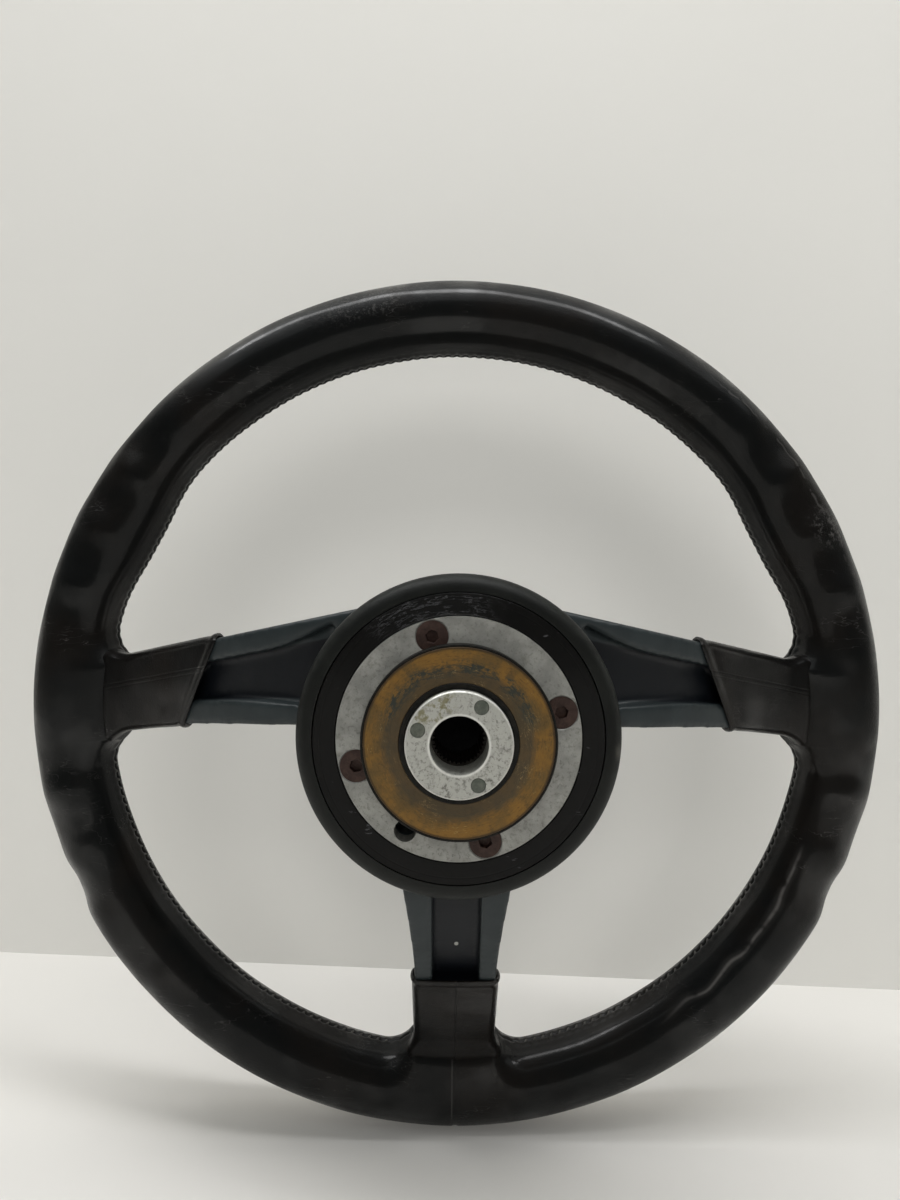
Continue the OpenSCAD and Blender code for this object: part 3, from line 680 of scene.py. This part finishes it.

# %% [markdown]
# Worn leather is nearly black, and what one sees of it is mostly its shine. Its grain is a net of fine cells
# that has been rubbed flat where hands lie, so the shine varies more than the colour does. Single marks are
# placed by radius and angle: a pale streak on the lower right and a pale line along the finger hollows are
# painted highlights, and the butt seam is a pale line. Seams on the sleeves are only bumps.

# %% Mark the leather
REFLECTION_STREAK_AT, HOLLOW_EDGE_HIGHLIGHT_AT = 164.8 * MM, 183 * MM
SEAM_EDGE = 42.1 * MM


def ring_highlights_and_seam(finish):
    """A painted reflection on the lower right, a painted highlight on the hollows' edge, and the butt seam.
    """
    radius, angle = finish.radius(), finish.angle()
    # Painted reflection: a thin pale streak along the lower right of the grip.
    streak = radius - REFLECTION_STREAK_AT + (finish.noise(24, 1) - 0.5) * 0.008
    streak = streak.near(0, 0.0009) * 0.75 + streak.near(0, 0.0026) * 0.25
    streak = streak * angle.ramp(-1.02, -0.80) * angle.ramp(-0.36, -0.44) * finish.noise(9, 2).ramp(0.25, 0.5)
    # Painted highlight: a thin pale line along the outer edge of the finger hollows.
    hollow = (radius - HOLLOW_EDGE_HIGHLIGHT_AT + (finish.noise(11, 2) - 0.5) * 0.007).near(0, 0.0008)
    hollow = hollow * angle.ramp(0.32, 0.42) * angle.ramp(0.95, 0.85) * finish.noise(5, 3).ramp(0.4, 0.5)
    butt = finish.x.near(-0.0008, 0.0005) * finish.z.ramp(-0.150, -0.158) * finish.z.ramp(-0.184, -0.178)
    column_side = finish.y.ramp(0.102, 0.098)
    return (streak * 0.6 + hollow * 0.35 + butt * 0.3) * column_side


def seam_lines(finish):
    """Two sewn lines along each side sleeve, and one down the middle of the lower sleeve."""
    side = abs(finish.x)
    across = finish.z - (SEAM_EDGE - TOP_FALL * side)
    lines = across.near(0, 0.0007) + across.near(-0.0018, 0.0005) * 0.5
    lines = lines * side.ramp(0.08, 0.09)
    return lines + finish.x.near(0.0003, 0.0006) * finish.z.ramp(-0.08, -0.09)


print("the streak runs", round(RING - REFLECTION_STREAK_AT / MM, 1), "mm inside the middle of the grip")

# %% Finish the leather
# Pale grey of worn leather; on the grip it also paints highlights.
WEAR_AND_HIGHLIGHT_GREY = (0.11, 0.105, 0.10)


def leather(name, dark, brown, shine, seams=False):
    finish = Finish(name, roughness=0.3, specular_ior_level=0.10, coat_roughness=0.15)
    grain = finish.cells(1.0, "DISTANCE_TO_EDGE").ramp(0.0, 0.35)
    folds = finish.noise(9, 5, 0.6)
    rubbed_and_sheen = finish.noise(26, 4, 0.6).ramp(0.42, 0.68)
    scratch = finish.noise(7, 3, at=finish.stretched(0.35, 1, 1.6)).near(0.5, 0.006)
    scratch = scratch * finish.noise(24, 2).ramp(0.56, 0.66)
    angle, radius = finish.angle(), finish.radius()
    scuff = angle.near(0.46, 0.07) * radius.near(0.181, 0.011)
    scuff = scuff + angle.near(1.79, 0.18) * radius.ramp(0.17, 0.18) * 0.5
    scuff = (scuff * finish.noise(2.0, 6, 0.75).ramp(0.52, 0.60)).least(1.0)
    wear_and_highlights = scratch * 0.35 + scuff * 0.8
    height = grain * (0.16 - 0.10 * rubbed_and_sheen) + folds - scratch * 0.4 - scuff * 0.6
    if seams:
        height = height - seam_lines(finish) * 1.6
    else:
        wear_and_highlights = wear_and_highlights + ring_highlights_and_seam(finish)
    colour = finish.mix(finish.noise(45, 3).ramp(0.42, 0.66), dark, brown)
    # The pale grey marks are real scuffs and scratches, and on the grip also painted highlights.
    finish.feed("Base Color", finish.mix(wear_and_highlights.least(1.0), colour, WEAR_AND_HIGHLIGHT_GREY))
    rough = 0.36 - 0.12 * rubbed_and_sheen + 0.08 * (1 - grain) + 0.10 * finish.noise(2.2, 3)
    finish.feed("Roughness", rough + 0.2 * scuff)
    finish.feed("Coat Weight", shine * (0.4 + 0.6 * rubbed_and_sheen))
    finish.bump(height, 0.28)
    return finish.material


grip_skin = leather("grip_leather", (0.0020, 0.0024, 0.0024), (0.0045, 0.0036, 0.0029), 0.55)
sleeve_skin = leather("sleeve_leather", (0.0030, 0.0028, 0.0026), (0.0062, 0.0048, 0.0039), 0.5, seams=True)
print("leather nodes:", len(grip_skin.node_tree.nodes), len(sleeve_skin.node_tree.nodes))

# %% [markdown]
# The thread and the pieces that hardly show need no finish of their own. One helper blends two near colours
# in soft blotches, so that even a plain piece isn't one flat colour.

# %% Finish the thread and the foam
def plain(name, first, second, rough, size=3.0, depth=0.05, metal=0.0, spread=0.12, shine=0.5):
    """A finish with a soft blotch of a second colour, for small or hidden pieces."""
    finish = Finish(name, metallic=metal, roughness=rough, specular_ior_level=shine)
    blotch = finish.noise(size, 4)
    finish.feed("Base Color", finish.mix(blotch.ramp(0.35, 0.65), first, second))
    finish.feed("Roughness", rough - spread / 2 + spread * finish.noise(size * 0.6, 3))
    finish.bump(finish.noise(size * 0.25, 3), depth)
    return finish.material


thread_skin = plain("seam_thread", (0.030, 0.029, 0.026), (0.055, 0.052, 0.045), 0.6, 1.2)
foam_skin = plain("rim_foam", (0.04, 0.04, 0.04), (0.06, 0.055, 0.05), 0.9, 2.0, 0.2)
print("plain finish nodes:", len(thread_skin.node_tree.nodes))

# %% [markdown]
# The arms are cast and sprayed with a slate-blue satin paint. The channel between the flanges is painted
# much darker, as painted shade in the recess. Height over a curved floor is hard to mask in a shader, so the
# mask follows the arm's own outline instead.

# %% Finish the painted arms
SPECK = (0.2 * MM, -87.6 * MM)


def arm_paint():
    finish = Finish("arm_paint", metallic=0.0, roughness=0.42, specular_ior_level=0.3)
    side = abs(finish.x)
    upper = (TOP_EDGE * MM - TOP_FALL * side) - finish.z
    swept = ((side - ROOT * MM) / ((INNER - ROOT) * MM)).most(0.0) ** SWEEP
    lower = finish.z - (LOW_EDGE * MM - LOW_DROP * MM * swept)
    between = upper.ramp(0.0084, 0.0092) * lower.ramp(0.0093, 0.0101) * side.ramp(0.04, 0.046)
    low_arm = side.ramp(0.0095, 0.0089) * finish.z.ramp(-0.045, -0.05)
    # Painted shade: the channel between the flanges, and down the lower arm, is painted much darker.
    shaded_channel = (between + low_arm).least(1.0) * finish.y.ramp(0.0, 0.01)
    dust = finish.noise(14, 5, 0.6)
    colour = finish.mix(dust.ramp(0.3, 0.75), (0.018, 0.0235, 0.0250), (0.026, 0.0325, 0.0345))
    colour = finish.mix(shaded_channel, colour, (0.0035, 0.0045, 0.0065))
    specks = finish.cells(5).ramp(0.06, 0.03) * finish.noise(20, 2).ramp(0.6, 0.66)
    speck = finish.x.near(SPECK[0], 0.0011) * finish.z.near(SPECK[1], 0.0013)
    colour = finish.mix(specks.most(speck.ramp(0.1, 0.3)), colour, (0.30, 0.30, 0.28))
    finish.feed("Base Color", colour)
    finish.feed("Roughness", 0.33 + 0.12 * dust + 0.08 * shaded_channel)
    finish.bump(finish.noise(1.3, 3) + 0.4 * finish.noise(6, 3), 0.05)
    return finish.material


paint = arm_paint()
print("paint nodes:", len(paint.node_tree.nodes))

# %% [markdown]
# The collar and the trim ring are both black plastic. The collar is satin, with a painted grey reflection
# along its rounded shoulder and a chip low on its right edge. The trim ring is duller but for its worn top,
# where it was scraped and polished, and where its pale scuff strokes are painted highlights. The scuffs there
# bend with the ring, which is why they read a polar place.

# %% Finish the collar and the trim ring
SHOULDER_SHEEN = (53.5 * MM, 56 * MM)
RING_GROOVE = 48 * MM


def collar():
    finish = Finish("shroud_plastic", roughness=0.5, specular_ior_level=0.2)
    haze = finish.noise(22, 5, 0.6)
    colour = finish.mix(haze.ramp(0.35, 0.7), (0.0040, 0.0045, 0.0040), (0.0080, 0.0088, 0.0076))
    chip = finish.z.near(-0.0045, 0.004) * finish.x.ramp(0.0535, 0.0555) * finish.noise(2, 4).ramp(0.35, 0.5)
    # Painted reflection: a paler grey band on the collar's rounded shoulder.
    rubbed_and_sheen = finish.radius().ramp(*SHOULDER_SHEEN) * finish.noise(6, 5, 0.7).ramp(0.40, 0.62)
    colour = finish.mix(rubbed_and_sheen * 0.5, colour, (0.022, 0.025, 0.022))
    finish.feed("Base Color", finish.mix(chip, colour, (0.055, 0.052, 0.045)))
    finish.feed("Roughness", 0.42 + 0.14 * haze)
    finish.bump(finish.noise(0.7, 2) + 0.6 * finish.noise(3, 3), 0.06)
    return finish.material


def trim():
    finish = Finish("trim_plastic", roughness=0.4, specular_ior_level=0.08, coat_roughness=0.10)
    # The worn top is glossier, and its scuff strokes are painted pale as painted highlights.
    worn_and_highlit_top = finish.z.ramp(0.030, 0.044) * finish.x.ramp(0.018, 0.004) * finish.x.ramp(-0.036, -0.024)
    scuff = finish.noise(1.7, 5, 0.65, at=finish.polar(0.009)).near(0.53, 0.030)
    scuff = scuff * worn_and_highlit_top * finish.noise(6, 3).ramp(0.40, 0.52)
    thin = finish.noise(1.1, 3, at=finish.stretched(0.2, 1, 1)).ramp(0.66, 0.72)
    thin = thin * finish.noise(16, 2).ramp(0.5, 0.6)
    colour = finish.mix(finish.noise(8, 4), (0.0018, 0.0018, 0.0017), (0.0045, 0.0043, 0.0039))
    # Pale grey: painted highlights on the worn top's scuffs, and thin pale strokes all round.
    finish.feed("Base Color", finish.mix((scuff * 0.5 + thin * 0.4).least(1.0), colour, (0.16, 0.16, 0.17)))
    finish.feed("Roughness", 0.42 - 0.22 * scuff + 0.1 * finish.noise(5, 3))
    finish.feed("Coat Weight", 0.15 + worn_and_highlit_top * 0.8)
    groove = finish.radius().near(RING_GROOVE, 0.0004)
    finish.bump(finish.noise(1.6, 4) + scuff * 1.5 - groove, 0.10)
    return finish.material


collar_skin, trim_skin = collar(), trim()
print("plastic nodes:", len(collar_skin.node_tree.nodes), len(trim_skin.node_tree.nodes))

# %% [markdown]
# The hub is turned from aluminium and has lain in grease: pale metal under dark speckles, an olive stain on
# the boss and bright rubbed edges. Distance from the axis and a little noise place all of these.

# %% Finish the aluminium hub
BOSS_EDGE, BORE_EDGE = 17.95 * MM, 10.2 * MM


def aluminium():
    finish = Finish("hub_aluminium", metallic=0.3, roughness=0.42)
    radius = finish.radius()
    boss = radius.ramp(0.0200, 0.0186)
    cloud = finish.noise(7, 5, 0.6).ramp(0.3, 0.7)
    pits = finish.noise(1.5, 5, 0.8).ramp(0.53, 0.62)
    dirt = finish.noise(2.6, 6, 0.72).ramp(0.50, 0.68)
    # Darker towards the lower right of the boss, over the dirt pattern.
    low = (finish.x * 0.5 - finish.z).ramp(-0.004, 0.016)
    patch = finish.noise(13, 4, 0.6).ramp(0.40, 0.60)
    colour = finish.mix(cloud, (0.21, 0.21, 0.195), (0.32, 0.32, 0.295))
    colour = finish.mix(boss * 0.75, colour, (0.47, 0.47, 0.43))
    colour = finish.mix(pits * (0.42 + 0.15 * boss), colour, (0.10, 0.095, 0.082))
    colour = finish.mix(dirt * patch * (0.45 + 0.3 * boss), colour, (0.085, 0.080, 0.060))
    colour = finish.mix(low * boss * dirt * 0.6, colour, (0.06, 0.055, 0.045))
    olive = finish.noise(3.5, 4, 0.65).ramp(0.48, 0.60)
    olive = olive * finish.z.ramp(0.004, 0.009) * finish.x.ramp(0.0, -0.004)
    colour = finish.mix(olive * boss * 0.75, colour, (0.15, 0.135, 0.045))
    edge = radius.near(BOSS_EDGE, 0.0006).most(radius.near(BORE_EDGE, 0.0007)) * finish.y.ramp(0.002, 0.001)
    colour = finish.mix(edge * 0.8, colour, (0.74, 0.74, 0.70))
    finish.feed("Base Color", colour)
    finish.feed("Roughness", 0.40 + 0.18 * dirt - 0.12 * edge + 0.1 * cloud)
    finish.feed("Metallic", 0.40 - 0.25 * dirt)
    turned = finish.node("TexWave", {"wave_type": "RINGS", "rings_direction": "Y"}, {"Vector": finish.place,
        "Scale": 900.0, "Distortion": 0.4}, output="Fac")
    finish.bump(turned * 0.2 + finish.noise(1.2, 5) * 0.8 - pits, 0.05)
    return finish.material


hub_skin = aluminium()
print("hub nodes:", len(hub_skin.node_tree.nodes))

# %% [markdown]
# A brush has run on the brass for years. It left fine circles, and grease has gathered in a dark band near
# the boss, thicker above the axis. Old brass is olive brown more than gold, and its outer edge is dark.

# %% Finish the brass ring
GREASE_BAND, POOL, BRASS_EDGE = 25 * MM, 26.2 * MM, (31.2 * MM, 31.9 * MM)


def brass():
    finish = Finish("brass", metallic=0.4, roughness=0.42)
    radius, bent = finish.radius(), finish.polar(0.006)
    turned = finish.noise(0.5, 3, 0.6, at=bent)
    wobble = radius + (finish.noise(9, 4) - 0.5) * 0.004
    olive = finish.noise(11, 5, 0.65).ramp(0.38, 0.64)
    colour = finish.mix(olive, (0.215, 0.112, 0.022), (0.125, 0.076, 0.023))
    colour = finish.mix(finish.noise(2.6, 6, 0.75).ramp(0.50, 0.72) * 0.6, colour, (0.055, 0.036, 0.016))
    colour = finish.mix(wobble.ramp(0.0272, 0.0236) * 0.8, colour, (0.055, 0.044, 0.027))
    colour = finish.mix(turned.ramp(0.52, 0.72) * 0.5, colour, (0.050, 0.034, 0.017))
    high = finish.z.ramp(0.002, 0.014)
    streak = finish.noise(2.4, 5, 0.7, at=bent).near(0.5, 0.070) * radius.near(GREASE_BAND, 0.0042)
    pool = finish.noise(5, 6, 0.7).ramp(0.50, 0.60) * radius.near(POOL, 0.0040)
    grease = (streak * (0.35 + 0.65 * high) + pool * high * 0.9).least(1.0)
    colour = finish.mix(grease, colour, (0.016, 0.021, 0.015))
    bright = finish.noise(1.4, 3, 0.6, at=bent).near(0.5, 0.012) * finish.noise(7, 3).ramp(0.54, 0.62)
    colour = finish.mix(bright * 0.5, colour, (0.42, 0.30, 0.13))
    colour = finish.mix(radius.ramp(*BRASS_EDGE) * 0.8, colour, (0.030, 0.019, 0.010))
    finish.feed("Base Color", colour)
    finish.feed("Roughness", 0.40 + 0.2 * turned - 0.12 * grease)
    finish.feed("Metallic", 0.5 - 0.35 * grease)
    finish.bump(turned + 0.8 * finish.noise(1.5, 5) + grease * 0.6, 0.05)
    return finish.material


brass_skin = brass()
print("brass nodes:", len(brass_skin.node_tree.nodes))

# %% [markdown]
# Screws and pins are the only steel that shows. Their heads are brown with rust or grey with dirt, and far
# less shiny than clean steel. The pieces inside the hub get plain finishes of their real materials, but the
# splined bush deep in the bore is painted near black as painted shade.

# %% Finish the small pieces
def rust(name, first, second, rough):
    """Dull steel whose rust or dirt, the second colour, takes away its shine."""
    finish = Finish(name, metallic=0.35, roughness=rough)
    patch = finish.noise(2.2, 6, 0.7)
    finish.feed("Base Color", finish.mix(patch.ramp(0.35, 0.7), first, second))
    finish.feed("Roughness", rough - 0.1 + 0.25 * patch)
    finish.feed("Metallic", 0.55 - 0.4 * patch)
    finish.bump(patch + 0.6 * finish.noise(0.6, 3), 0.12)
    return finish.material


skins = {
    "hub_screws": rust("rusty_steel", (0.026, 0.013, 0.010), (0.055, 0.030, 0.023), 0.55),
    "dowel_pins": rust("dull_steel", (0.07, 0.08, 0.065), (0.12, 0.125, 0.105), 0.45),
    "slip_ring_carrier": plain("insulator", (0.003, 0.003, 0.0025), (0.009, 0.008, 0.006), 0.5, 2.0, 0.08,
        shine=0.2),
    # Painted shade: the bush deep in the bore is painted near black.
    "splined_bush": plain("bush_steel_painted_shade", (0.006, 0.005, 0.004), (0.012, 0.010, 0.008), 0.65, 3.0, 0.05),
    "rim_core": plain("ring_steel", (0.24, 0.23, 0.22), (0.30, 0.29, 0.27), 0.4, 4.0, 0.05, 0.9),
    "rim_foam": foam_skin,
    "horn_base": plain("zinc_plate", (0.42, 0.42, 0.38), (0.52, 0.51, 0.45), 0.35, 5.0, 0.03, 0.85),
    "contact_insulator": plain("hard_paper", (0.20, 0.10, 0.045), (0.27, 0.14, 0.06), 0.6),
    "horn_lead": plain("lead_sleeve", (0.26, 0.03, 0.025), (0.32, 0.045, 0.035), 0.45),
    "horn_pad": plain("pad_plastic", (0.016, 0.016, 0.017), (0.024, 0.024, 0.025), 0.55, 4.0, 0.12),
    "horn_springs": plain("spring_steel", (0.45, 0.46, 0.46), (0.55, 0.55, 0.54), 0.3, 2.0, 0.02, 0.9),
    "spider": paint, "shroud": collar_skin, "trim_ring": trim_skin, "hub": hub_skin, "slip_ring": brass_skin,
}
TWINS = {"horn_base": ("base_screws", "pad_carrier", "guide_pins"),
    "slip_ring": ("slip_ring_tab", "contact_ring", "contact_stud")}
for twin, others in TWINS.items():
    skins.update(dict.fromkeys(others, skins[twin]))
print("finishes:", len(set(skins.values())))

# %% [markdown]
# Last, each piece gets its finish and its place in the moving model. The leather stands for the plain solids
# beneath it, and the rounded copies stand for their sharp ones. The horn's pieces move with the horn.

# %% Dress every piece
bodies = {node: body for body, members in frame["record"]["behaviour"]["bodies"].items() for node in members}


def dress(piece, skin, node):
    """Gives a new piece its finish and its body, and hides the CAD node that it stands for."""
    piece.data.materials.append(skin)
    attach(piece, bodies[node])
    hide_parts(node)


dress(rim, grip_skin, "rim_leather")
for arm, piece in sleeves.items():
    dress(piece, sleeve_skin, "wrap_" + arm)
stitches.data.materials.append(thread_skin)
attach(stitches, "wheel")
dress(springs, skins["horn_springs"], "horn_springs")
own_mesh(springs)
for node, piece in finished.items():
    dress(piece, skins[node], node)
for node, piece in nodes.items():
    if node in skins and node not in finished:
        piece.data.materials.clear()
        piece.data.materials.append(skins[node])
print("dressed:", len(finished) + len(sleeves) + 3, "new pieces")

# %% [markdown]
